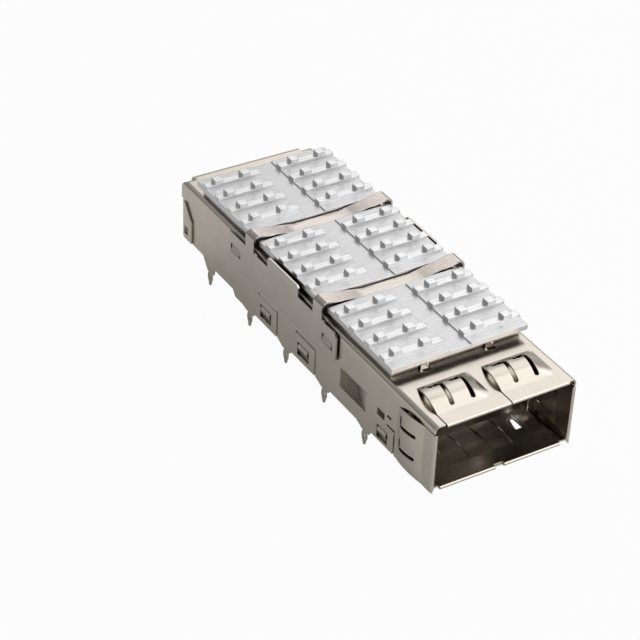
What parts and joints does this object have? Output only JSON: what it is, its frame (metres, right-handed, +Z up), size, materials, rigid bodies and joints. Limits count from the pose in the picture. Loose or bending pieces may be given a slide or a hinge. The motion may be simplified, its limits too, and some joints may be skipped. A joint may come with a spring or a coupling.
{
  "type": "qsfp cage",
  "caption": "Board-mounted metal cage for a pluggable network module, with contact springs round its mouth, press-fit pins and a floating heat sink held by a spring clip.",
  "frame": {"origin": "On the face of the board that the feet stand on, in the middle plane, below the front edge of the mouth.", "axes": "+Y from the mouth to the rear, +Z up from the board, +X to the right as seen from the mouth."},
  "size_m": [0.02, 0.0591, 0.0142],
  "materials": {
    "plated_sheet": "satin nickel plate, warm grey",
    "plated_floor": "satin nickel plate, warm grey",
    "bare_aluminium": "milled, bright satin",
    "spring_steel": "rolled stainless spring sheet"
  },
  "bodies": {
    "cage": {"cage_shell": "plated_sheet", "bottom_cover": "plated_floor", "heat_sink_clip": "spring_steel"},
    "sink": {"heat_sink": "bare_aluminium"}
  },
  "joints": [
    {"name": "heat_sink_float", "type": "slide", "parent": "cage", "child": "sink", "axis": [0, 0, 1], "range_m": [0, 0.0004], "stiffness_N_per_m": 6000, "springref_m": -0.0016, "deforming": ["heat_sink_clip"]}
  ]
}
